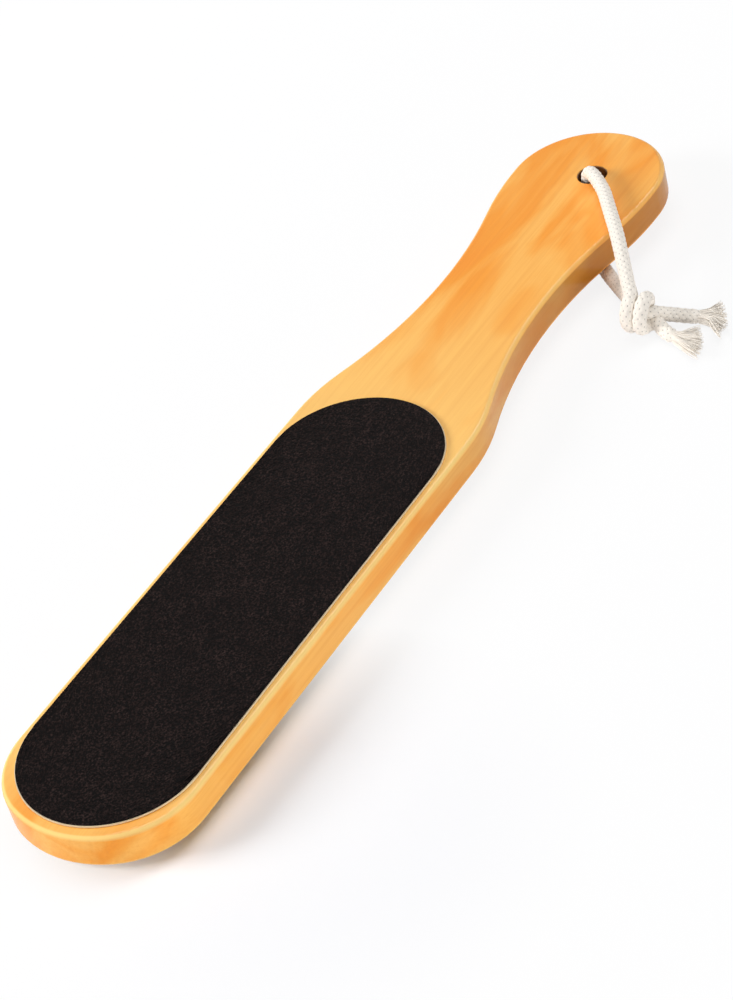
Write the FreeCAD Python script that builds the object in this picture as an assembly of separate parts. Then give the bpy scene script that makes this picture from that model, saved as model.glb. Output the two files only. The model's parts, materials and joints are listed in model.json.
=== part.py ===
import FreeCAD, Part
import math
import os

# Wooden foot file: a flat board with an abrasive sheet glued on each face and a knotted
# cotton cord through the hole in its handle. Millimetres.
# The origin is the middle of the board: +X towards the handle's end, +Z out of the front face.

# Board
overall_length = 260.0
head_width = 48.0
head_corner_radius = 20.5
head_nose_rise = 0.8
wood_thickness = 8.8
edge_round = 1.2

# Handle, drawn in from the head's sides at the waist and swelling again towards its end
waist_from_handle_end = 68.8
waist_inset = 9.0
handle_swell = 5.45
shoulder_radius = 49.5
waist_radius = 124.0
swell_radius = 84.5

# Hanging hole, drilled a little to one side of the handle's middle line
hole_diameter = 7.4
hole_from_handle_end = 19.1
hole_offset = -1.5
hole_chamfer = 0.35

# Abrasive sheets
sheet_side_margin = 1.85
sheet_tip_margin = 2.65
sheet_past_shoulder = 10.0
grit_inset = 0.25
adhesive_thickness = 0.1
paper_thickness = 0.35
grit_thickness = 0.45

# Cotton cord
cord_diameter = 4.0
cord_sides = 12
tuft_length = 7.0
tuft_width = 10.4
tuft_height = 2.4

# Overhand knot: a turn of one strand round the other, with a groove between its two bands.
# Its profile is in shares of its length and of half its width.
knot_width = 11.4
knot_length = 7.8
knot_sides = 16
knot_centre = FreeCAD.Vector(70.4, -34.9, -2.6)
knot_axis = FreeCAD.Vector(0.116, -0.987, -0.109)
knot_profile_shares = [
    (-0.5, 0.66),
    (-0.37, 0.94),
    (-0.22, 1.0),
    (0.0, 0.84),
    (0.22, 1.0),
    (0.37, 0.94),
    (0.5, 0.66),
]

# Route of the cord's loop: out of the knot, over the front face, down through the hole and
# back under the handle into the knot
loop_route = [
    (69.9, -33.4, 1.0),
    (73.0, -31.3, 2.2),
    (75.8, -29.4, 3.4),
    (79.4, -26.9, 4.6),
    (83.1, -24.3, 5.7),
    (87.5, -21.2, 6.5),
    (92.7, -17.2, 6.7),
    (97.8, -13.3, 6.7),
    (102.5, -9.2, 6.65),
    (110.5, -0.1, 6.65),
    (110.5, -0.1, -6.65),
    (101.4, -5.0, -6.65),
    (95.4, -8.7, -6.65),
    (90.5, -12.6, -6.7),
    (86.6, -16.9, -6.75),
    (82.6, -21.4, -6.0),
    (78.8, -25.6, -5.0),
    (75.6, -29.2, -4.0),
    (71.1, -32.8, -3.1),
]
# Routes of the two loose ends, from where the yarns part back to the knot
upper_tail_route = [
    (76.6, -48.4, -6.3),
    (76.0, -45.0, -6.3),
    (75.3, -41.7, -6.0),
    (73.6, -38.8, -4.9),
    (71.0, -36.0, -2.9),
]
lower_tail_route = [
    (67.3, -45.7, -6.3),
    (68.2, -42.6, -6.2),
    (67.9, -39.6, -4.4),
    (68.2, -37.2, -1.8),
]

# An arc takes this share of the shorter of the two runs that it joins
arc_share = 0.45

# Sizes that follow from the ones above
handle_end_x = overall_length / 2
head_end_x = -overall_length / 2
head_half = head_width / 2
waist_half = head_half - waist_inset
swell_half = waist_half + handle_swell
waist_x = handle_end_x - waist_from_handle_end
head_end_length = head_corner_radius + head_nose_rise
head_side_x = head_end_x + head_end_length
head_corner_y = head_half - head_corner_radius
head_nose_square = head_end_length ** 2 + head_corner_y ** 2 - head_corner_radius ** 2
head_nose_radius = head_nose_square / (2 * head_nose_rise)
face_z = wood_thickness / 2
shoulder_rise = waist_half + waist_radius - head_half + shoulder_radius
shoulder_x = waist_x - math.sqrt((shoulder_radius + waist_radius) ** 2 - shoulder_rise ** 2)
swell_rise = waist_half + waist_radius - swell_half + swell_radius
swell_x = waist_x + math.sqrt((swell_radius + waist_radius) ** 2 - swell_rise ** 2)
hole_x = handle_end_x - hole_from_handle_end
sheet_half = head_half - sheet_side_margin
sheet_low_x = head_end_x + sheet_tip_margin
sheet_high_x = shoulder_x + sheet_past_shoulder
cord_radius = cord_diameter / 2


def point(x, y, z=0.0):
    return FreeCAD.Vector(x, y, z)


def on_circle(centre, radius, towards):
    """The point of a circle that lies from its centre in the direction of another point."""
    direction = FreeCAD.Vector(towards).sub(centre)
    direction.normalize()
    return centre.add(direction.multiply(radius))


def arc_between(centre, radius, start, end):
    """The shorter arc of a circle from one of its points to another."""
    middle = on_circle(centre, radius, start.add(end).multiply(0.5))
    return Part.Arc(start, middle, end)


def mirrored(vector):
    return FreeCAD.Vector(vector.x, -vector.y, vector.z)


def end_radius_of_handle():
    """The radius of the arc that closes the handle, tangent to its two swelling sides."""
    reach = handle_end_x - swell_x
    drop = swell_half - swell_radius
    return (swell_radius ** 2 - reach ** 2 - drop ** 2) / (2 * (swell_radius - reach))


def board_outline():
    """The board seen from the front: rounded head, shoulders, waist and swelling handle."""
    end_radius = end_radius_of_handle()
    nose_centre = point(head_end_x + head_nose_radius, 0)
    corner_centre = point(head_side_x, head_corner_y)
    shoulder_centre = point(shoulder_x, head_half - shoulder_radius)
    waist_centre = point(waist_x, waist_half + waist_radius)
    swell_centre = point(swell_x, swell_half - swell_radius)
    end_centre = point(handle_end_x - end_radius, 0)
    nose_end = on_circle(nose_centre, head_nose_radius, corner_centre)
    side_start = point(head_side_x, head_half)
    shoulder_start = point(shoulder_x, head_half)
    shoulder_end = on_circle(shoulder_centre, shoulder_radius, waist_centre)
    swell_start = on_circle(swell_centre, swell_radius, waist_centre)
    swell_end = on_circle(swell_centre, swell_radius, end_centre)
    side_curves = [
        arc_between(corner_centre, head_corner_radius, nose_end, side_start),
        Part.LineSegment(side_start, shoulder_start),
        arc_between(shoulder_centre, shoulder_radius, shoulder_start, shoulder_end),
        arc_between(waist_centre, waist_radius, shoulder_end, swell_start),
        arc_between(swell_centre, swell_radius, swell_start, swell_end),
    ]
    side = [curve.toShape() for curve in side_curves]
    other_side = [edge.mirror(point(0, 0), point(0, 1)) for edge in side]
    nose = Part.Arc(mirrored(nose_end), point(head_end_x, 0), nose_end).toShape()
    handle_end = Part.Arc(swell_end, point(handle_end_x, 0), mirrored(swell_end)).toShape()
    edges = Part.sortEdges([nose, *side, handle_end, *other_side])[0]
    return Part.Wire(edges)


def hole_cutter():
    """The drilled hole with a chamfered mouth on each face, as one turned shape."""
    radius = hole_diameter / 2
    mouth = radius + hole_chamfer
    lip_z = face_z - hole_chamfer
    profile = Part.makePolygon([
        point(0, 0, -face_z),
        point(mouth, 0, -face_z),
        point(radius, 0, -lip_z),
        point(radius, 0, lip_z),
        point(mouth, 0, face_z),
        point(0, 0, face_z),
        point(0, 0, -face_z),
    ])
    turned = Part.Face(profile).revolve(point(0, 0), point(0, 0, 1), 360)
    turned.translate(point(hole_x, hole_offset))
    return turned


def make_board():
    """The wooden board with both outline edges rounded over and the hole drilled through."""
    outline = board_outline()
    outline.translate(point(0, 0, -face_z))
    board = Part.Face(outline).extrude(point(0, 0, wood_thickness))
    rims = [edge for edge in board.Edges if abs(edge.BoundBox.ZMax - edge.BoundBox.ZMin) < edge_round]
    board = board.makeFillet(edge_round, rims)
    return board.cut(hole_cutter())


def sheet_layer(inset, low_z, thickness):
    """One layer of an abrasive sheet: a strip with half-round ends."""
    half = sheet_half - inset
    low = sheet_low_x + sheet_half
    high = sheet_high_x - sheet_half
    outline = Part.Wire([
        Part.LineSegment(point(low, -half), point(high, -half)).toShape(),
        Part.Arc(point(high, -half), point(high + half, 0), point(high, half)).toShape(),
        Part.LineSegment(point(high, half), point(low, half)).toShape(),
        Part.Arc(point(low, half), point(low - half, 0), point(low, -half)).toShape(),
    ])
    outline.translate(point(0, 0, low_z))
    return Part.Face(outline).extrude(point(0, 0, thickness))


def make_sheets():
    """The glue, paper and grit of the front sheet, and the same turned over for the rear."""
    layers = {
        "adhesive_film": (0.0, adhesive_thickness),
        "backing_paper": (0.0, paper_thickness),
        "grit_coat": (grit_inset, grit_thickness),
    }
    made = {}
    level = face_z
    for name, (inset, thickness) in layers.items():
        made["front_" + name] = sheet_layer(inset, level, thickness)
        made["rear_" + name] = sheet_layer(inset, -level - thickness, thickness)
        level += thickness
    return made


def cord_path(route):
    """Straight runs joined by tangent arcs through a route's points, and the arcs' radii."""
    points = [FreeCAD.Vector(*place) for place in route]
    edges = []
    radii = []
    start = points[0]
    for before, corner, after in zip(points, points[1:], points[2:]):
        back = before.sub(corner)
        ahead = after.sub(corner)
        turn = math.pi - back.getAngle(ahead)
        reach = arc_share * min(back.Length, ahead.Length)
        back.normalize()
        ahead.normalize()
        arc_start = corner.add(FreeCAD.Vector(back).multiply(reach))
        arc_end = corner.add(FreeCAD.Vector(ahead).multiply(reach))
        radius = reach / math.tan(turn / 2)
        inward = back.add(ahead).normalize()
        depth = radius / math.cos(turn / 2) - radius
        middle = corner.add(FreeCAD.Vector(inward).multiply(depth))
        edges.append(Part.LineSegment(start, arc_start).toShape())
        edges.append(Part.Arc(arc_start, middle, arc_end).toShape())
        radii.append(round(radius, 1))
        start = arc_end
    edges.append(Part.LineSegment(start, points[-1]).toShape())
    return Part.Wire(edges), radii


def square_to(ahead):
    """Two directions at right angles to a heading and to each other: sideways and upwards."""
    sideways = ahead.cross(point(0, 0, 1)).normalize()
    return sideways, sideways.cross(ahead)


def start_of(route):
    """A route's first point and its heading there."""
    start = FreeCAD.Vector(*route[0])
    ahead = FreeCAD.Vector(*route[1]).sub(start).normalize()
    return start, ahead


def ring(centre, ahead, half_width, half_height, sides):
    """Corners in a ring round a heading, oval where its two half sizes differ."""
    sideways, upwards = square_to(ahead)
    corners = []
    for number in range(sides):
        angle = 2 * math.pi * number / sides
        across = FreeCAD.Vector(sideways).multiply(half_width * math.cos(angle))
        rise = FreeCAD.Vector(upwards).multiply(half_height * math.sin(angle))
        corners.append(centre.add(across).add(rise))
    return corners


def flat_face(corners):
    """A face with straight sides between its corners."""
    return Part.Face(Part.makePolygon([*corners, corners[0]]))


def flat_sided(rings):
    """A closed solid through rings of corners, with flat faces between each ring and the next."""
    faces = [flat_face(rings[0]), flat_face(rings[-1])]
    for low, high in zip(rings, rings[1:]):
        low_ahead = low[1:] + low[:1]
        high_ahead = high[1:] + high[:1]
        for first, second, third, fourth in zip(low, low_ahead, high_ahead, high):
            faces.append(flat_face([first, second, third]))
            faces.append(flat_face([first, third, fourth]))
    return Part.makeSolid(Part.makeShell(faces)).removeSplitter()


def cord_tube(name, route):
    """A cord along a route."""
    path, radii = cord_path(route)
    start, ahead = start_of(route)
    section = flat_face(ring(start, ahead, cord_radius, cord_radius, cord_sides))
    shell = Part.BRepOffsetAPI.MakePipeShell(path)
    shell.add(section.OuterWire)
    shell.build()
    shell.makeSolid()
    tube = shell.shape()
    expected = section.Area * path.Length
    print(name, "length", round(path.Length, 1), "radii", radii, "volume share", round(tube.Volume / expected, 4))
    return tube


def tail(name, route):
    """A loose end of the cord, with its yarns parting into a flat tuft."""
    start, ahead = start_of(route)
    tip = start.sub(FreeCAD.Vector(ahead).multiply(tuft_length))
    neck = ring(start, ahead, cord_radius, cord_radius, cord_sides)
    fan = ring(tip, ahead, tuft_width / 2, tuft_height / 2, cord_sides)
    return cord_tube(name, route).fuse(flat_sided([neck, fan]))


def make_knot():
    """The overhand knot: two bulging bands side by side, closing in at both ends."""
    ahead = FreeCAD.Vector(knot_axis).normalize()
    rings = []
    for along_share, out_share in knot_profile_shares:
        centre = knot_centre.add(FreeCAD.Vector(ahead).multiply(along_share * knot_length))
        half = out_share * knot_width / 2
        rings.append(ring(centre, ahead, half, half, knot_sides))
    return flat_sided(rings)


os.makedirs("parts", exist_ok=True)
knot = make_knot()
nodes = {
    "wooden_paddle": make_board(),
    **make_sheets(),
    "cord_loop": cord_tube("cord_loop", loop_route).cut(knot),
    "cord_knot": knot,
    "cord_tail_upper": tail("cord_tail_upper", upper_tail_route).cut(knot),
    "cord_tail_lower": tail("cord_tail_lower", lower_tail_route).cut(knot),
}
for node, shape in nodes.items():
    shape.exportStep("parts/" + node + ".step")
    print(node, "valid" if shape.isValid() else "not valid", len(shape.Solids), "solid")
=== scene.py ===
import json
import math
import random

import bmesh
import bpy
from bpy.props import FloatProperty, FloatVectorProperty, IntProperty, PointerProperty
from mathutils import Color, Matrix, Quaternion, Vector


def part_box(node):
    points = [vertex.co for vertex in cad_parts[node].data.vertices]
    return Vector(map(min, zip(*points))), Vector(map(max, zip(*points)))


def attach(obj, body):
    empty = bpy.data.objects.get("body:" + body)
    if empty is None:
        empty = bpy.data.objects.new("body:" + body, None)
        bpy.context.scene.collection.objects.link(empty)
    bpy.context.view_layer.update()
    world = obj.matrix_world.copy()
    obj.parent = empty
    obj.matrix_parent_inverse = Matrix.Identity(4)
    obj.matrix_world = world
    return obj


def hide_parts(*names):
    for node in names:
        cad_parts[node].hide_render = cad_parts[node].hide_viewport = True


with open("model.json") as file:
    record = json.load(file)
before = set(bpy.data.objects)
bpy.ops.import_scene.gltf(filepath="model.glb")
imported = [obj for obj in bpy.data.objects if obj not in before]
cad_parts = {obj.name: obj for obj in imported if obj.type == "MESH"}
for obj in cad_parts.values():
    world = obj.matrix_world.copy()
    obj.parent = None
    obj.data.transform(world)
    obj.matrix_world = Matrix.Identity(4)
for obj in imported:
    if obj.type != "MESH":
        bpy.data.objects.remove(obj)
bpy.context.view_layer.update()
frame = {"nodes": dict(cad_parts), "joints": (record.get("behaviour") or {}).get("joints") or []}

bl_info = {
    "name": "Wooden foot file",
    "version": (1, 0, 0),
    "blender": (4, 5, 0),
    "location": "3D View > Sidebar > Foot file",
    "description": "Varnished board, two grit sheets and a knotted cotton cord, on a plain stage",
    "category": "Object",
}

NODES = frame["nodes"]
BOARD_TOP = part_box("wooden_paddle")[1].z
HOLE_AXIS = tuple(frame["joints"][0]["pos_m"])

# The cord's lines, from the middle of the hanging hole to where the yarns part
FRONT_ROUTE = [
    (0.1105, -0.0001, 0.0),
    (0.1105, -0.0001, 0.0037),
    (0.1095, -0.0023, 0.0067),
    (0.1029, -0.0095, 0.00665),
    (0.0978, -0.0133, 0.0067),
    (0.0927, -0.0172, 0.0067),
    (0.0875, -0.0212, 0.0065),
    (0.0831, -0.0243, 0.0057),
    (0.0794, -0.0269, 0.0046),
    (0.0758, -0.0294, 0.0034),
    (0.073, -0.0313, 0.0023),
    (0.0706, -0.0333, 0.0018),
    (0.0672, -0.0336, 0.0005),
    (0.066, -0.0335, -0.0028),
    (0.0678, -0.0333, -0.0059),
    (0.0714, -0.0336, -0.0065),
    (0.0742, -0.0344, -0.0044),
    (0.0739, -0.0357, -0.0012),
    (0.0716, -0.0365, 0.001),
    (0.0682, -0.0369, 0.0006),
    (0.0664, -0.0368, -0.0025),
    (0.0671, -0.0364, -0.0052),
    (0.0696, -0.0364, -0.0063),
    (0.0713, -0.0377, -0.0058),
    (0.0704, -0.0397, -0.0056),
    (0.0691, -0.0413, -0.0059),
    (0.0682, -0.0432, -0.0062),
    (0.0673, -0.0457, -0.0063),
]
REAR_ROUTE = [
    (0.1105, -0.0001, 0.0),
    (0.1105, -0.0001, -0.0037),
    (0.1087, -0.0012, -0.0067),
    (0.1014, -0.005, -0.00665),
    (0.0954, -0.0087, -0.00665),
    (0.0905, -0.0126, -0.0067),
    (0.0866, -0.0169, -0.00675),
    (0.0826, -0.0214, -0.006),
    (0.0788, -0.0256, -0.005),
    (0.0756, -0.0292, -0.004),
    (0.0723, -0.032, -0.003),
    (0.0707, -0.0344, -0.0027),
    (0.0711, -0.0364, -0.003),
    (0.0736, -0.0388, -0.0049),
    (0.0753, -0.0417, -0.006),
    (0.076, -0.045, -0.0063),
    (0.0766, -0.0484, -0.0063),
]

# How finely a smooth line is divided between its control points
ROUTE_STEPS = 36
YARN_STEPS = 8

# Outer ends of the frayed yarns, from one side of each fan to the other
FRONT_TUFT = [
    (0.0727, -0.0495, -0.0065),
    (0.0693, -0.052, -0.0065),
    (0.0657, -0.0535, -0.0065),
    (0.0619, -0.054, -0.0065),
]
REAR_TUFT = [
    (0.0832, -0.0503, -0.0065),
    (0.0794, -0.0535, -0.0065),
    (0.0755, -0.0554, -0.0065),
    (0.0703, -0.0558, -0.0065),
]

# A frayed yarn, in shares of the cord's thickness
YARN_RADIUS_SHARE = 0.034
BUNDLE_WIDTH_SHARE = 0.7
BUNDLE_HEIGHT_SHARE = 0.3
FAN_HEIGHT_SHARE = 0.22
ROOT_SHARE = 0.3
BEND_SHARE = 0.45
SWAY_SHARE = 0.15

# A frayed yarn's reach, middle and thickness along its length, and how far it strays among the others
YARN_REACH_SHARES = (0.75, 1.05)
YARN_MIDDLE_SHARE = 0.55
YARN_THICKNESS_SHARES = (1.0, 1.0, 0.8, 0.45)
YARN_STRAY_SHARE = 0.7

# How much wider a bundle is at its bend, how far a fan is lifted, and how many points give its heading
BEND_SPREAD_SHARE = 1.3
FAN_LIFT = 0.0002
HEADING_STEPS = 8

# A braided yarn's round top, as a share of its climb over the next yarn
CROWN_SHARE = 0.8

# The cord's thickness where it is cut, as a share of its full thickness
CUT_END_SHARE = 0.55

# Points of the cord's seam that are nearer than this become one
MERGE_DISTANCE = 1e-6

# How far a grain strays from its row, as a share of the distance between grains
GRAIN_STRAY_SHARE = 0.35

# Levels of a noise between which a pattern shows
EVEN_LEVELS = (0.3, 0.7)
FIGURE_LEVELS = (0.32, 0.5, 0.68)
STREAK_LEVELS = (0.45, 0.75)
FIBRE_LEVELS = (0.42, 0.72)
GRAIN_LEVELS = (0.46, 0.74)
BLOTCH_LEVELS = (0.35, 0.65)
COTTON_LEVELS = (0.3, 0.6)
# Depths between the yarns over which the painted shade grows
HOLLOW_SHADE_LEVELS = (0.33, 0.66)

# Depths below the board's face, in shares of its rounded rim
WALL_SHARES = (1.0, 0.7)
RIM_RISE_SHARES = (1.0, 0.4)
RIM_FALL_SHARES = (0.12, 0.02)

# Distances from the hole's axis, in shares of its radius, at which the bare wood inside the hole,
# darkened with painted shade, gives way to varnish
BARE_HOLE_SHADE_SHARES = (1.03, 1.1)

# Ranges of roughness
VARNISH_ROUGHNESS = (0.34, 0.46)
GRIT_ROUGHNESS = (0.55, 0.8)
GLUE_ROUGHNESS = (0.3, 0.5)

# The darker tone of a blotched surface, as a share of its colour
PAPER_SHADE_SHARE = 0.86
GLUE_SHADE_SHARE = 0.8
COTTON_SHADE_SHARE = 0.94

# Places of the colours among a Mix node's sockets
MIX_BODY = 6
MIX_TINT = 7
MIX_RESULT = 2

WHITE = (1.0, 1.0, 1.0, 1.0)


def paint(red, green, blue):
    """A scene colour from the 0 to 255 numbers of a colour picker."""
    return tuple(Color((red / 255, green / 255, blue / 255)).from_srgb_to_scene_linear())


def colour(label, description, default):
    """A colour that a user may change."""
    return FloatVectorProperty(
        name=label, description=description, subtype="COLOR", min=0.0, max=1.0, default=default
    )


def length(label, description, default):
    """A length in metres that a user may change."""
    return FloatProperty(
        name=label,
        description=description,
        unit="LENGTH",
        subtype="DISTANCE",
        min=0.0,
        precision=5,
        default=default,
    )


def places(label, description, default):
    """Two places along the board, in metres, that a user may change."""
    return FloatVectorProperty(
        name=label, description=description, unit="LENGTH", size=2, precision=4, default=default
    )


def one_share(label, description, default):
    """A share from 0 to 1 that a user may change."""
    return FloatProperty(
        name=label, description=description, subtype="FACTOR", min=0.0, max=1.0, default=default
    )


def two_shares(label, description, default):
    """The shares at two places along the board, which a user may change."""
    return FloatVectorProperty(
        name=label, description=description, size=2, min=-1.0, max=1.0, default=default
    )


def power(label, description, default):
    """A lamp's power in watts that a user may change."""
    return FloatProperty(name=label, description=description, unit="POWER", min=0.0, default=default)


def count(label, description, least, default):
    """A whole number that a user may change."""
    return IntProperty(name=label, description=description, min=least, default=default)


class BoardSettings(bpy.types.PropertyGroup):
    """Colours and grain of the varnished board."""

    honey: colour("Honey", "Main colour of the varnished wood", paint(247, 159, 50))
    amber: colour("Amber", "Deeper patches of the figure", paint(245, 148, 42))
    straw: colour("Straw", "Lighter patches of the figure", paint(252, 186, 90))
    # Bare wood in the hole, darkened with painted shade
    bare_hole_shade: colour("Drilled", "Bare wood inside the hanging hole", paint(92, 54, 24))
    # Painted shade on the sawn sides
    side_shade: colour("Flank", "Deeper tone of the sawn sides", paint(150, 92, 26))
    # Painted highlight on the rounded rims and on the face beside the sheet
    rim_highlight: colour("Worn", "Paler rim of each face", paint(255, 222, 140))
    streak: colour("Streak", "Fine darker lines along the grain", paint(226, 132, 40))
    figure_length: length("Figure length", "How long a patch of the figure is", 0.045)
    figure_width: length("Figure width", "How wide a patch of the figure is", 0.013)
    streak_length: length("Streak length", "How long a darker line is", 0.05625)
    streak_width: length("Streak width", "How wide a darker line is", 0.0014)
    streak_relief: length("Streak relief", "Depth of the lines in the varnish", 0.00008)
    fibre_length: length("Fibre length", "How long a fibre is", 0.018)
    fibre_width: length("Fibre width", "How wide a fibre is", 0.0005384615)
    pore_length: length("Pore length", "How long a duller spot of the varnish is", 0.003214286)
    pore_width: length("Pore width", "How wide a duller spot of the varnish is", 0.00035)
    rim: length("Rim", "Rounding of the board's edges", 0.0012)
    hole_radius: length("Hole radius", "Radius of the hanging hole", 0.0037)
    streak_share: one_share("Streak share", "How strong the darker lines are", 0.3)
    fibre_share: one_share("Fibre share", "How strong the fibres are", 0.24)
    tip_from_to: places("Tip", "Where the tip of the head gives way to the rest", (-0.128, -0.108))
    tip_shares: two_shares("Tip shares", "How much paler the figure is there", (-0.07, 0.0))
    # How strong the painted highlight on the face beside the sheet is at the tip
    tip_margin_highlight_shares: two_shares("Tip margin", "How pale the face is there", (0.08, 0.45))
    pale_from_to: places("Pale", "Where the handle goes from pale to deep", (0.03, 0.07))
    pale_shares: two_shares("Pale shares", "How much paler the figure is there", (0.18, 0.0))
    # Where and how deep the painted shade on the sides is
    side_shade_from_to: places("Flanks", "Where the sides grow deeper", (-0.03, 0.07))
    side_shade_shares: two_shares("Flank shares", "How deep the sides are there", (0.0, 0.56))
    # Where and how strongly the painted highlight shows on the rims and on the face beside the sheet
    rim_highlight_from_to: places("Rims", "Where the rims lose their wear", (0.0, 0.05))
    rim_highlight_shares: two_shares("Rim shares", "How worn the rims are there", (0.76, 0.32))
    margin_highlight_from_to: places("Margin", "Where the face beside the sheet loses its paleness", (-0.01, 0.06))
    margin_highlight_shares: two_shares("Margin shares", "How pale the face is there", (0.45, 0.0))


class SheetSettings(bpy.types.PropertyGroup):
    """Colours and grain of the abrasive sheets."""

    black: colour("Black", "Colour between the grains", paint(5, 3, 3))
    grey: colour("Grey", "Colour of the palest grains", paint(56, 44, 42))
    paper: colour("Paper", "Cut edge of the backing paper", paint(240, 220, 184))
    glue: colour("Glue", "Dried glue under the paper", paint(206, 158, 88))
    grain_size: length("Grain size", "Distance between grains", 0.00045)
    grain_height: length("Grain height", "How far a grain stands out of the coat", 0.00016)
    patch_size: length("Patch size", "How wide a patch of darker grains is", 0.00405)
    patch_share: one_share("Patch share", "How much darker such a patch is", 0.5)
    pulp_length: length("Pulp length", "How long a fibre of the paper is", 0.001111111)
    pulp_height: length("Pulp height", "How thick a fibre of the paper is", 0.0003333333)
    pulp_relief: length("Pulp relief", "How far a fibre stands out of the cut", 0.00005)
    bead_size: length("Bead size", "How wide a bead of glue is", 0.001666667)


class CordSettings(bpy.types.PropertyGroup):
    """Size, braid and colours of the cotton cord."""

    cotton: colour("Cotton", "Colour of the yarns", paint(250, 243, 233))
    # Painted shade deep between the yarns
    hollow_shade: colour("Hollow", "Colour deep between the yarns", paint(84, 78, 80))
    diameter: length("Diameter", "Thickness of the cord", 0.0037)
    plait_length: length("Plait length", "Length in which a yarn goes once round the cord", 0.011)
    relief: length("Relief", "Depth between the yarns", 0.00045)
    lint_size: length("Lint size", "How wide a fibre of the cotton is", 0.0003333333)
    lint_relief: length("Lint relief", "How far a fibre stands out of a yarn", 0.00008)
    yarns: count("Yarns", "Yarns that run each way round", least=2, default=6)
    facets: count("Facets", "Corners of the cord's outline", least=8, default=64)
    tuft_yarns: count("Tuft yarns", "Loose yarns in each frayed end", least=2, default=240)


class StageSettings(bpy.types.PropertyGroup):
    """Floor, lights and camera."""

    floor: colour("Floor", "Colour of the floor", paint(250, 250, 252))
    top_power: power("Top", "Power of the soft light overhead", 13.0)
    side_power: power("Side", "Power of the light behind the file", 12.0)
    fill_power: power("Fill", "Power of the low light in front", 1.45)
    sky: one_share("Sky", "Strength of the light all round", 0.14)
    # The floor's white glow that paints out the shadow away from the head
    white_share: one_share("White", "How white the floor is away from the head", 0.86)
    lens: FloatProperty(name="Lens", description="Focal length", unit="CAMERA", default=105.5)


def put_mesh_in_scene(name, mesh, material):
    """An object at the origin from a finished mesh."""
    mesh.name = name
    mesh.materials.clear()
    mesh.materials.append(material)
    piece = bpy.data.objects.new(name, mesh)
    bpy.context.scene.collection.objects.link(piece)
    return piece


def put_in_scene(name, bm, material):
    """An object at the origin from a finished bmesh."""
    mesh = bpy.data.meshes.new(name)
    bm.to_mesh(mesh)
    bm.free()
    return put_mesh_in_scene(name, mesh, material)


def blank_material(name):
    """A material, its node tree and its shader."""
    material = bpy.data.materials.new(name)
    material.use_nodes = True
    tree = material.node_tree
    return material, tree, tree.nodes["Principled BSDF"]


def finish(shader, values):
    """Sets a shader's sockets that are the same all over the surface."""
    for name, value in values.items():
        shader.inputs[name].default_value = value


def feed(tree, socket, value):
    """Links a socket to another node's output, or sets its value."""
    if isinstance(value, bpy.types.NodeSocket):
        tree.links.new(value, socket)
    else:
        socket.default_value = value


def add_node(tree, kind, **sockets):
    """A node whose named inputs are linked or set."""
    node = tree.nodes.new(kind)
    for name, value in sockets.items():
        feed(tree, node.inputs[name], value)
    return node


def noise(tree, sizes, detail, wander=0.0):
    """Noise on Object coordinates, with the size of its patches along each axis."""
    coordinates = tree.nodes.new("ShaderNodeTexCoord").outputs["Object"]
    scale = tuple(1.0 / size for size in sizes)
    mapping = add_node(tree, "ShaderNodeMapping", Vector=coordinates, Scale=scale)
    texture = add_node(
        tree,
        "ShaderNodeTexNoise",
        Vector=mapping.outputs[0],
        Scale=1.0,
        Detail=detail,
        Distortion=wander,
    )
    return texture.outputs["Fac"]


def grain_noise(tree, along, across, detail, wander=0.0):
    """Noise drawn out along the board."""
    return noise(tree, (along, across, across), detail, wander)


def even_noise(tree, size, detail):
    """Noise that is alike along every axis."""
    return noise(tree, (size, size, size), detail)


def place_along(tree, axis):
    """How far along the X, Y or Z axis a point is."""
    coordinates = tree.nodes.new("ShaderNodeTexCoord").outputs["Object"]
    return add_node(tree, "ShaderNodeSeparateXYZ", Vector=coordinates).outputs[axis]


def distance_from_axis(tree, axis):
    """How far a point is from an upright axis."""
    coordinates = tree.nodes.new("ShaderNodeTexCoord").outputs["Object"]
    flat = add_node(tree, "ShaderNodeMapping", Vector=coordinates, Scale=(1.0, 1.0, 0.0)).outputs[0]
    away = tree.nodes.new("ShaderNodeVectorMath")
    away.operation = "DISTANCE"
    feed(tree, away.inputs[0], flat)
    feed(tree, away.inputs[1], axis)
    return away.outputs["Value"]


def combine(tree, operation, first, second):
    """One number made of two by a named operation."""
    node = tree.nodes.new("ShaderNodeMath")
    node.operation = operation
    feed(tree, node.inputs[0], first)
    feed(tree, node.inputs[1], second)
    return node.outputs[0]


def spread(tree, value, levels, results):
    """A value taken from a pair of levels to a pair of results, and kept between them."""
    node = tree.nodes.new("ShaderNodeMapRange")
    names = ("Value", "From Min", "From Max", "To Min", "To Max")
    for name, number in zip(names, (value, *levels, *results)):
        feed(tree, node.inputs[name], number)
    return node.outputs["Result"]


def along_board(tree, from_to, shares):
    """A share that goes over to another between two places along the board."""
    return spread(tree, place_along(tree, "X"), from_to, shares)


def ramp(tree, value, levels, shades):
    """A colour ramp with a shade at each level."""
    node = add_node(tree, "ShaderNodeValToRGB", Fac=value)
    elements = node.color_ramp.elements
    while len(elements) < len(shades):
        elements.new(1.0)
    for element, level, shade in zip(elements, levels, shades):
        element.position = level
        element.color = (*shade, 1.0)
    return node.outputs["Color"]


def blotched(tree, value, levels, shade, shade_share):
    """A colour with darker blotches where a noise is low."""
    darker = tuple(part * shade_share for part in shade)
    return ramp(tree, value, levels, (darker, shade))


def tinted(tree, share, body, tint):
    """A body colour that goes over to a plain tint by a share."""
    node = tree.nodes.new("ShaderNodeMix")
    node.data_type = "RGBA"
    feed(tree, node.inputs[0], share)
    feed(tree, node.inputs[MIX_BODY], body)
    feed(tree, node.inputs[MIX_TINT], (*tint, 1.0))
    return node.outputs[MIX_RESULT]


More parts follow.
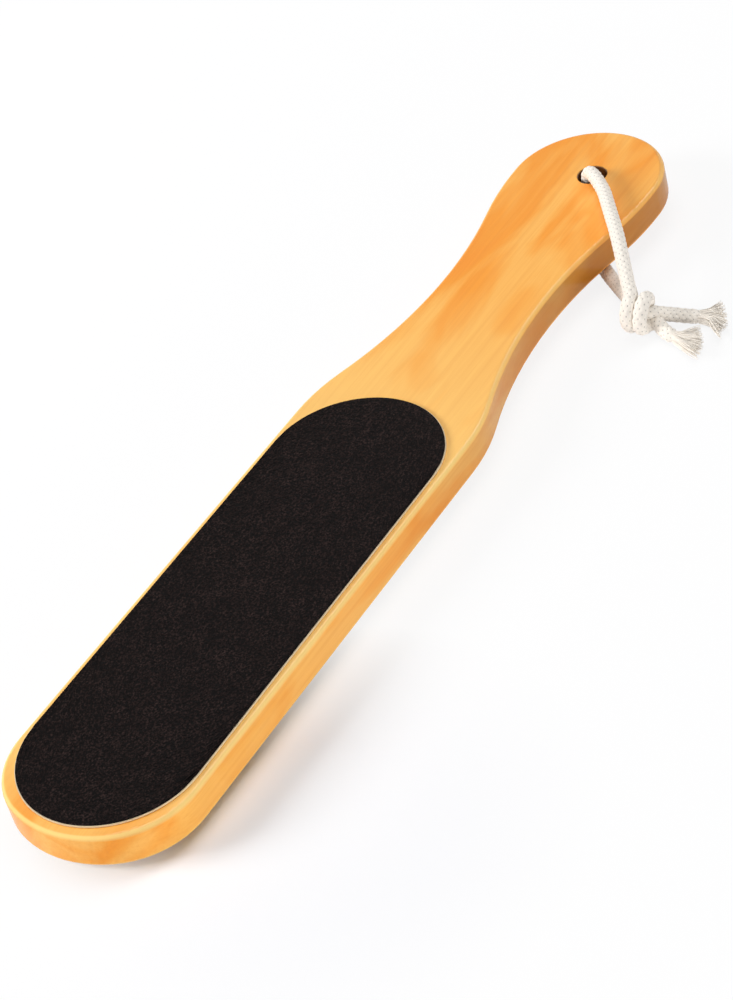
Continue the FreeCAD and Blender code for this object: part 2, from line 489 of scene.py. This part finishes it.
def mix_shaders(tree, share, first, second):
    """The first shader, going over to the second by a share."""
    node = tree.nodes.new("ShaderNodeMixShader")
    for socket, value in zip(node.inputs, (share, first, second)):
        feed(tree, socket, value)
    return node.outputs[0]


def bump(tree, height, depth, strength):
    """Small relief from a height."""
    node = add_node(tree, "ShaderNodeBump", Height=height, Distance=depth, Strength=strength)
    return node.outputs["Normal"]


def rays_seen(tree):
    """One on what the camera sees, also in a mirror or through glass, and zero on what only lights."""
    path = tree.nodes.new("ShaderNodeLightPath")
    seen = path.outputs["Is Camera Ray"]
    for name in ("Is Glossy Ray", "Is Transmission Ray"):
        seen = combine(tree, "MAXIMUM", seen, path.outputs[name])
    return seen


def wood_figure(tree, settings):
    """Amber, honey and straw patches, paler on the head and deeper at its tip."""
    patches = grain_noise(tree, settings.figure_length, settings.figure_width, detail=3.0, wander=0.7)
    paler = along_board(tree, settings.pale_from_to, settings.pale_shares)
    deeper = along_board(tree, settings.tip_from_to, settings.tip_shares)
    level = combine(tree, "ADD", patches, combine(tree, "ADD", paler, deeper))
    return ramp(tree, level, FIGURE_LEVELS, (settings.amber, settings.honey, settings.straw))


def grain_lines(tree, settings, body, streaks):
    """Darker lines and fibres along the grain."""
    fibres = grain_noise(tree, settings.fibre_length, settings.fibre_width, detail=3.0)
    streak_share = spread(tree, streaks, STREAK_LEVELS, (0.0, settings.streak_share))
    fibre_share = spread(tree, fibres, FIBRE_LEVELS, (0.0, settings.fibre_share))
    line_share = combine(tree, "MAXIMUM", streak_share, fibre_share)
    return tinted(tree, line_share, body, settings.streak)


def rim_levels(settings, shares):
    """Heights at shares of the rounded rim below the board's face."""
    return tuple(BOARD_TOP - settings.rim * share for share in shares)


def painted_side_shade(tree, settings, body, height):
    """Painted shade on the sides below the rounded rim, deeper towards the handle."""
    side_shade_share = along_board(tree, settings.side_shade_from_to, settings.side_shade_shares)
    side_share = spread(tree, height, rim_levels(settings, WALL_SHARES), (side_shade_share, 0.0))
    return tinted(tree, side_share, body, settings.side_shade)


def painted_rim_highlights(tree, settings, body, height):
    """A painted highlight: paler rims, and a paler face beside the sheet."""
    rim_highlight_share = along_board(tree, settings.rim_highlight_from_to, settings.rim_highlight_shares)
    neck_share = along_board(tree, settings.margin_highlight_from_to, settings.margin_highlight_shares)
    tip_share = along_board(tree, settings.tip_from_to, settings.tip_margin_highlight_shares)
    margin_highlight_share = combine(tree, "MINIMUM", neck_share, tip_share)
    rise = spread(tree, height, rim_levels(settings, RIM_RISE_SHARES), (0.0, rim_highlight_share))
    fall = spread(tree, height, rim_levels(settings, RIM_FALL_SHARES), (rim_highlight_share, margin_highlight_share))
    return tinted(tree, combine(tree, "MINIMUM", rise, fall), body, settings.rim_highlight)


def shaded_bare_hole(tree, settings, body):
    """Bare wood inside the hanging hole, painted much darker as the hole's shade."""
    edges = tuple(settings.hole_radius * share for share in BARE_HOLE_SHADE_SHARES)
    bare_hole_shade_share = spread(tree, distance_from_axis(tree, HOLE_AXIS), edges, (1.0, 0.0))
    return tinted(tree, bare_hole_shade_share, body, settings.bare_hole_shade)


def varnished_wood(settings):
    """Honey-coloured wood with a lengthwise figure under clear varnish."""
    material, tree, shader = blank_material("varnished_wood")
    streaks = grain_noise(tree, settings.streak_length, settings.streak_width, detail=2.0)
    pores = grain_noise(tree, settings.pore_length, settings.pore_width, detail=1.0)
    height = combine(tree, "ABSOLUTE", place_along(tree, "Z"), 0.0)
    body = wood_figure(tree, settings)
    body = grain_lines(tree, settings, body, streaks)
    # Painted shade on the sides
    body = painted_side_shade(tree, settings, body, height)
    # Painted highlight on the rims and on the face beside the sheet
    body = painted_rim_highlights(tree, settings, body, height)
    # The hole's bare wood, darkened with painted shade
    feed(tree, shader.inputs["Base Color"], shaded_bare_hole(tree, settings, body))
    feed(tree, shader.inputs["Roughness"], spread(tree, pores, EVEN_LEVELS, VARNISH_ROUGHNESS))
    feed(tree, shader.inputs["Normal"], bump(tree, streaks, settings.streak_relief, strength=0.25))
    finish(shader, {"Specular IOR Level": 0.02, "Coat Weight": 0.5, "Coat Roughness": 0.08})
    return material


def black_grit(settings):
    """Dark mineral grains with a few paler ones."""
    material, tree, shader = blank_material("black_grit")
    grains = even_noise(tree, settings.grain_size, detail=1.0)
    patches = even_noise(tree, settings.patch_size, detail=2.0)
    body = ramp(tree, grains, GRAIN_LEVELS, (settings.black, settings.grey))
    dark_share = spread(tree, patches, EVEN_LEVELS, (0.0, settings.patch_share))
    feed(tree, shader.inputs["Base Color"], tinted(tree, dark_share, body, settings.black))
    feed(tree, shader.inputs["Roughness"], spread(tree, grains, EVEN_LEVELS, GRIT_ROUGHNESS))
    finish(shader, {"Specular IOR Level": 0.05})
    return material


def backing_paper(settings):
    """Pale cut paper."""
    material, tree, shader = blank_material("backing_paper")
    pulp = noise(tree, (settings.pulp_length, settings.pulp_length, settings.pulp_height), detail=3.0)
    body = blotched(tree, pulp, BLOTCH_LEVELS, settings.paper, PAPER_SHADE_SHARE)
    feed(tree, shader.inputs["Base Color"], body)
    feed(tree, shader.inputs["Normal"], bump(tree, pulp, settings.pulp_relief, strength=0.4))
    finish(shader, {"Roughness": 0.8})
    return material


def dried_glue(settings):
    """A thin yellowish line of glue."""
    material, tree, shader = blank_material("dried_glue")
    beads = even_noise(tree, settings.bead_size, detail=2.0)
    body = blotched(tree, beads, BLOTCH_LEVELS, settings.glue, GLUE_SHADE_SHARE)
    feed(tree, shader.inputs["Base Color"], body)
    feed(tree, shader.inputs["Roughness"], spread(tree, beads, EVEN_LEVELS, GLUE_ROUGHNESS))
    return material


def cotton_cord(settings):
    """Off-white yarns, with painted shade deep between them."""
    material, tree, shader = blank_material("cotton_cord")
    depth = tree.nodes.new("ShaderNodeAttribute")
    depth.attribute_name = "hollow_shade"
    lint = even_noise(tree, settings.lint_size, detail=2.0)
    yarn = blotched(tree, lint, COTTON_LEVELS, settings.cotton, COTTON_SHADE_SHARE)
    hollow_shade_share = spread(tree, depth.outputs["Fac"], HOLLOW_SHADE_LEVELS, (0.0, 1.0))
    feed(tree, shader.inputs["Base Color"], tinted(tree, hollow_shade_share, yarn, settings.hollow_shade))
    feed(tree, shader.inputs["Normal"], bump(tree, lint, settings.lint_relief, strength=0.5))
    finish(shader, {"Roughness": 0.85, "Specular IOR Level": 0.2, "Sheen Weight": 0.2})
    return material


def new_curve(name):
    """An empty curve in space."""
    curve = bpy.data.curves.new(name, "CURVE")
    curve.dimensions = "3D"
    return curve


def add_spline(curve, points, steps):
    """A smooth open spline of a curve, with these points as its control points."""
    spline = curve.splines.new("NURBS")
    spline.points.add(len(points) - 1)
    for control, place in zip(spline.points, points):
        control.co = (*place, 1.0)
    spline.order_u = 3
    spline.use_endpoint_u = True
    spline.resolution_u = steps
    return spline


def mesh_from(curve):
    """The mesh that a curve makes, in place of the curve."""
    holder = bpy.data.objects.new(curve.name, curve)
    bpy.context.scene.collection.objects.link(holder)
    graph = bpy.context.evaluated_depsgraph_get()
    mesh = bpy.data.meshes.new_from_object(holder.evaluated_get(graph))
    bpy.data.objects.remove(holder)
    bpy.data.curves.remove(curve)
    return mesh


def line_of(route):
    """The points of a route's smooth line, read from its spline."""
    curve = new_curve("route")
    add_spline(curve, route, ROUTE_STEPS)
    mesh = mesh_from(curve)
    points = [vertex.co.copy() for vertex in mesh.vertices]
    bpy.data.meshes.remove(mesh)
    return points


def lengths_along(line):
    """How far along a line each of its points is."""
    reached = [0.0]
    for before, after in zip(line, line[1:]):
        reached.append(reached[-1] + (after - before).length)
    return reached


def sides_along(line):
    """Two sideways directions at each point of a line, carried along without twisting."""
    headings = [(after - before).normalized() for before, after in zip(line, line[1:])]
    headings.append(headings[-1])
    side = headings[0].orthogonal().normalized()
    sides = []
    for before, heading in zip([headings[0], *headings], headings):
        side = before.rotation_difference(heading) @ side
        side = (side - heading * side.dot(heading)).normalized()
        sides.append((side, heading.cross(side)))
    return sides


def yarn_height(one_way, other_way, over):
    """Height of a yarn that goes over and under the yarns it crosses, from 0 up."""
    turn = -1.0 if math.floor(one_way) % 2 else 1.0
    climb = (1.0 + over * turn * math.sin(math.pi * other_way)) / 2
    crown = math.sqrt(max(0.0, 1.0 - (2.0 * (one_way % 1.0) - 1.0) ** 2))
    return climb + CROWN_SHARE * crown


def braid_hollow(around, along, yarns):
    """Depth of a braid's surface from 0 on top of a yarn to 1 between yarns."""
    one_way = yarns * (around + along)
    other_way = yarns * (around - along)
    top = max(yarn_height(one_way, other_way, 1.0), yarn_height(other_way, one_way, -1.0))
    return 1.0 - top / (1.0 + CROWN_SHARE)


def close_and_turn_out(bm):
    """Fills each open edge loop and makes all faces point outwards."""
    bmesh.ops.edgeloop_fill(bm, edges=[edge for edge in bm.edges if edge.is_boundary])
    bmesh.ops.recalc_face_normals(bm, faces=bm.faces)


def braided_cord(name, line, material, settings):
    """A braided tube along a line, drawn in at its cut end."""
    reached = lengths_along(line)
    sides = sides_along(line)
    rings = len(line) - 1
    bm = bmesh.new()
    bm.loops.layers.uv.new("UVMap")
    # Depth between the yarns, kept for the painted shade there
    hollow_shade = bm.verts.layers.float.new("hollow_shade")
    bmesh.ops.create_grid(bm, x_segments=settings.facets, y_segments=rings, size=0.5, calc_uvs=True)
    for vert in bm.verts:
        around = vert.co.x + 0.5
        ring = round((vert.co.y + 0.5) * rings)
        side, across = sides[ring]
        deep = braid_hollow(around, reached[ring] / settings.plait_length, settings.yarns)
        radius = settings.diameter / 2 - settings.relief * deep
        radius *= min(1.0, CUT_END_SHARE + (reached[-1] - reached[ring]) / settings.diameter)
        angle = math.tau * around
        vert.co = line[ring] + (side * math.cos(angle) + across * math.sin(angle)) * radius
        vert[hollow_shade] = deep
    bmesh.ops.remove_doubles(bm, verts=bm.verts, dist=MERGE_DISTANCE)
    close_and_turn_out(bm)
    for face in bm.faces:
        face.smooth = True
    return put_in_scene(name, bm, material)


def fan_point(tips, share):
    """A point on the outer edge of a fan of yarns."""
    place = share * (len(tips) - 1)
    index = min(int(place), len(tips) - 2)
    return Vector(tips[index]).lerp(Vector(tips[index + 1]), place - index)


def yarn_points(line, tips, share, diameter, chance):
    """Root, bend, middle and tip of a loose yarn that lies a share of the way across its fan."""
    neck = line[-1]
    heading = (neck - line[-HEADING_STEPS]).normalized()
    across = (fan_point(tips, 1.0) - fan_point(tips, 0.0)).normalized()
    layer = chance.uniform(-1.0, 1.0)
    tip = neck.lerp(fan_point(tips, share), chance.uniform(*YARN_REACH_SHARES))
    tip.z += diameter * FAN_HEIGHT_SHARE * layer + FAN_LIFT
    offset = across * (share - 0.5) * diameter * BUNDLE_WIDTH_SHARE
    offset += Vector((0.0, 0.0, diameter * BUNDLE_HEIGHT_SHARE * layer))
    root = neck - heading * diameter * ROOT_SHARE + offset
    bend = neck + heading * diameter * BEND_SHARE + offset * BEND_SPREAD_SHARE
    sway = Vector((chance.uniform(-1, 1), chance.uniform(-1, 1), 0.0)) * diameter * SWAY_SHARE
    middle = bend.lerp(tip, YARN_MIDDLE_SHARE) + sway
    return root, bend, middle, tip


def frayed_tuft(name, line, tips, material, settings, seed):
    """Loose yarns that fan out of the cord's cut end."""
    chance = random.Random(seed)
    curve = new_curve(name)
    curve.bevel_depth = settings.diameter * YARN_RADIUS_SHARE
    curve.bevel_resolution = 1
    curve.use_fill_caps = True
    last = settings.tuft_yarns - 1
    for index in range(settings.tuft_yarns):
        place = index + chance.uniform(-YARN_STRAY_SHARE, YARN_STRAY_SHARE)
        share = min(1.0, max(0.0, place / last))
        points = yarn_points(line, tips, share, settings.diameter, chance)
        spline = add_spline(curve, points, YARN_STEPS)
        for control, thickness_share in zip(spline.points, YARN_THICKNESS_SHARES):
            control.radius = thickness_share
    return put_mesh_in_scene(name, mesh_from(curve), material)


def grit_coat(name, node, material, settings, seed):
    """Grains of grit over the half-round-ended strip of a sheet."""
    chance = random.Random(seed)
    low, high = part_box(node)
    middle = (low + high) / 2
    half = (high - low) / 2
    outward = 1.0 if middle.z > 0 else -1.0
    columns = round(2 * half.x / settings.grain_size)
    rows = round(2 * half.y / settings.grain_size)
    bm = bmesh.new()
    bmesh.ops.create_grid(bm, x_segments=columns, y_segments=rows, size=1.0)
    rim = {vert for vert in bm.verts if vert.is_boundary}
    for vert in bm.verts:
        across = vert.co.y * half.y
        reach = half.x - half.y + math.sqrt(max(0.0, half.y ** 2 - across ** 2))
        grain = Vector((vert.co.x * reach, across, half.z * outward))
        if vert in rim:
            grain.z -= settings.grain_height * outward
        else:
            grain.x += chance.uniform(-GRAIN_STRAY_SHARE, GRAIN_STRAY_SHARE) * settings.grain_size
            grain.y += chance.uniform(-GRAIN_STRAY_SHARE, GRAIN_STRAY_SHARE) * settings.grain_size
            grain.z -= settings.grain_height * chance.random() * outward
        vert.co = middle + grain
    rim_edges = [edge for edge in bm.edges if edge.is_boundary]
    wall = bmesh.ops.extrude_edge_only(bm, edges=rim_edges)["geom"]
    for part in wall:
        if isinstance(part, bmesh.types.BMVert):
            part.co.z = middle.z - half.z * outward
    close_and_turn_out(bm)
    return put_in_scene(name, bm, material)


class FOOTFILE_OT_finish_board(bpy.types.Operator):
    """Varnish the wooden board"""

    bl_idname = "footfile.finish_board"
    bl_label = "Finish the board"

    def execute(self, context):
        mesh = NODES["wooden_paddle"].data
        mesh.materials.clear()
        mesh.materials.append(varnished_wood(context.scene.foot_file_board))
        return {"FINISHED"}


class FOOTFILE_OT_lay_sheets(bpy.types.Operator):
    """Glue an abrasive sheet on each face of the board"""

    bl_idname = "footfile.lay_sheets"
    bl_label = "Lay the abrasive sheets"

    def execute(self, context):
        settings = context.scene.foot_file_sheets
        grit = black_grit(settings)
        paper = backing_paper(settings)
        glue = dried_glue(settings)
        for seed, face in enumerate(("front", "rear")):
            for layer, material in (("backing_paper", paper), ("adhesive_film", glue)):
                mesh = NODES[f"{face}_{layer}"].data
                mesh.materials.clear()
                mesh.materials.append(material)
            node = f"{face}_grit_coat"
            coat = grit_coat(f"{face}_grains", node, grit, settings, seed)
            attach(coat, "paddle")
            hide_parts(node)
        return {"FINISHED"}


class FOOTFILE_OT_tie_cord(bpy.types.Operator):
    """Thread the cord through the hole, knot it and fray its ends"""

    bl_idname = "footfile.tie_cord"
    bl_label = "Tie the hanging cord"

    def execute(self, context):
        settings = context.scene.foot_file_cord
        cotton = cotton_cord(settings)
        for seed, (name, route, tips, nodes) in enumerate((
            ("front_strand", FRONT_ROUTE, FRONT_TUFT, ("cord_loop", "cord_knot", "cord_tail_lower")),
            ("rear_strand", REAR_ROUTE, REAR_TUFT, ("cord_loop", "cord_tail_upper")),
        )):
            line = line_of(route)
            strand = braided_cord(name, line, cotton, settings)
            tuft = frayed_tuft(f"{name}_tuft", line, tips, cotton, settings, seed)
            for piece in (strand, tuft):
                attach(piece, "cord")
            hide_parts(*nodes)
        return {"FINISHED"}


class FOOTFILE_OT_set_stage(bpy.types.Operator):
    """Lay the floor and place the lights and the camera"""

    bl_idname = "footfile.set_stage"
    bl_label = "Set the stage"

    # The floor touches the head's tip and the cord
    floor_half = 3.0
    floor_touch = Vector((-0.1271, 0.0, -0.0053))
    floor_slope = -0.01602

    # The middle of the head's shadow, and how far from it the floor grows nearly and then wholly white,
    # its glow painting out the shadow
    shadow_place = (-0.103, -0.046, 0.0)
    shadow_from_to = (0.026, 0.062)
    far_from_to = (0.12, 0.42)

    # The lamps, and where they point
    top_place = Vector((0.75, -0.05, 1.2))
    top_aim = Vector((0.66, -0.25, 0.0))
    top_size = (1.9, 0.45)
    side_place = Vector((-0.6, 0.9, 0.55))
    side_size = (0.45, 0.45)
    fill_place = Vector((-0.25, -0.5, 0.065))
    fill_size = (0.5, 0.1)
    board_middle = Vector((0.0, 0.0, 0.0))

    # The camera, and how far it is turned about its line of sight
    camera_place = Vector((-0.40802, -0.35738, 0.42254))
    camera_aim = Vector((-0.01761, -0.01072, 0.0044))
    camera_roll = math.radians(-16.1)
    view_axis = (0.0, 0.0, 1.0)

    def execute(self, context):
        settings = context.scene.foot_file_stage
        self.lay_floor(settings)
        self.light_world(context, settings)
        self.hang_lights(context, settings)
        self.place_camera(context, settings)
        context.scene.view_settings.view_transform = "Standard"
        return {"FINISHED"}

    def lay_floor(self, settings):
        """A pale floor that the camera sees glowing plain white away from the head, which paints out the
        object's shadow there.
        """
        material, tree, shader = blank_material("floor")
        shade = (*settings.floor, 1.0)
        finish(shader, {"Base Color": shade, "Roughness": 0.9, "Specular IOR Level": 0.0})
        white = add_node(tree, "ShaderNodeEmission", Color=WHITE, Strength=1.0)
        away = distance_from_axis(tree, self.shadow_place)
        near_share = spread(tree, away, self.shadow_from_to, (0.0, settings.white_share))
        far_share = spread(tree, away, self.far_from_to, (0.0, 1.0))
        white_share = combine(tree, "MAXIMUM", near_share, far_share)
        seen_share = spread(tree, rays_seen(tree), (0.0, 1.0), (0.0, white_share))
        surface = tree.nodes["Material Output"].inputs["Surface"]
        feed(tree, surface, mix_shaders(tree, seen_share, shader.outputs[0], white.outputs[0]))
        bm = bmesh.new()
        bmesh.ops.create_grid(bm, x_segments=1, y_segments=1, size=self.floor_half)
        for vert in bm.verts:
            vert.co.z = self.floor_touch.z + self.floor_slope * (vert.co.x - self.floor_touch.x)
        put_in_scene("floor", bm, material)

    def light_world(self, context, settings):
        """Weak light from all round, seen as a white backdrop."""
        world = bpy.data.worlds.new("studio")
        context.scene.world = world
        world.use_nodes = True
        tree = world.node_tree
        light = tree.nodes["Background"]
        finish(light, {"Color": WHITE, "Strength": settings.sky})
        backdrop = add_node(tree, "ShaderNodeBackground", Color=WHITE, Strength=1.0)
        surface = tree.nodes["World Output"].inputs["Surface"]
        feed(tree, surface, mix_shaders(tree, rays_seen(tree), light.outputs[0], backdrop.outputs[0]))

    def hang_lights(self, context, settings):
        """One soft light overhead that the varnish mirrors, and two that it doesn't."""
        self.hang_light(context, "top", self.top_place, self.top_aim, self.top_size, settings.top_power)
        for name, place, size, watts in (
            ("side", self.side_place, self.side_size, settings.side_power),
            ("fill", self.fill_place, self.fill_size, settings.fill_power),
        ):
            lamp = self.hang_light(context, name, place, self.board_middle, size, watts)
            lamp.visible_glossy = False

    def hang_light(self, context, name, place, aim, size, watts):
        """A rectangular soft light that points at its aim."""
        light = bpy.data.lights.new(name, "AREA")
        light.energy = watts
        light.shape = "RECTANGLE"
        light.size, light.size_y = size
        lamp = bpy.data.objects.new(name, light)
        lamp.location = place
        lamp.rotation_euler = (aim - place).to_track_quat("-Z", "Y").to_euler()
        context.scene.collection.objects.link(lamp)
        return lamp

    def place_camera(self, context, settings):
        """The camera, turned about its own line of sight."""
        data = bpy.data.cameras.new("camera")
        data.lens = settings.lens
        camera = bpy.data.objects.new("camera", data)
        camera.location = self.camera_place
        turn = (self.camera_aim - self.camera_place).to_track_quat("-Z", "Y")
        camera.rotation_euler = (turn @ Quaternion(self.view_axis, self.camera_roll)).to_euler()
        context.scene.collection.objects.link(camera)
        context.scene.camera = camera


OPERATORS = (
    FOOTFILE_OT_finish_board,
    FOOTFILE_OT_lay_sheets,
    FOOTFILE_OT_tie_cord,
    FOOTFILE_OT_set_stage,
)
SETTINGS = {
    "foot_file_board": BoardSettings,
    "foot_file_sheets": SheetSettings,
    "foot_file_cord": CordSettings,
    "foot_file_stage": StageSettings,
}


class FOOTFILE_PT_panel(bpy.types.Panel):
    """Settings and steps of the foot file"""

    bl_idname = "FOOTFILE_PT_panel"
    bl_label = "Foot file"
    bl_space_type = "VIEW_3D"
    bl_region_type = "UI"
    bl_category = "Foot file"

    def draw(self, context):
        for operator, (name, group) in zip(OPERATORS, SETTINGS.items()):
            box = self.layout.box()
            for label in group.__annotations__:
                box.prop(getattr(context.scene, name), label)
            box.operator(operator.bl_idname)


def register():
    for name, group in SETTINGS.items():
        bpy.utils.register_class(group)
        setattr(bpy.types.Scene, name, PointerProperty(type=group))
    for operator in OPERATORS:
        bpy.utils.register_class(operator)
    bpy.utils.register_class(FOOTFILE_PT_panel)


def unregister():
    bpy.utils.unregister_class(FOOTFILE_PT_panel)
    for operator in reversed(OPERATORS):
        bpy.utils.unregister_class(operator)
    for name, group in reversed(SETTINGS.items()):
        delattr(bpy.types.Scene, name)
        bpy.utils.unregister_class(group)


def main():
    """Makes the foot file and its stage."""
    register()
    bpy.ops.footfile.finish_board()
    bpy.ops.footfile.lay_sheets()
    bpy.ops.footfile.tie_cord()
    bpy.ops.footfile.set_stage()


if __name__ == "__main__":
    main()
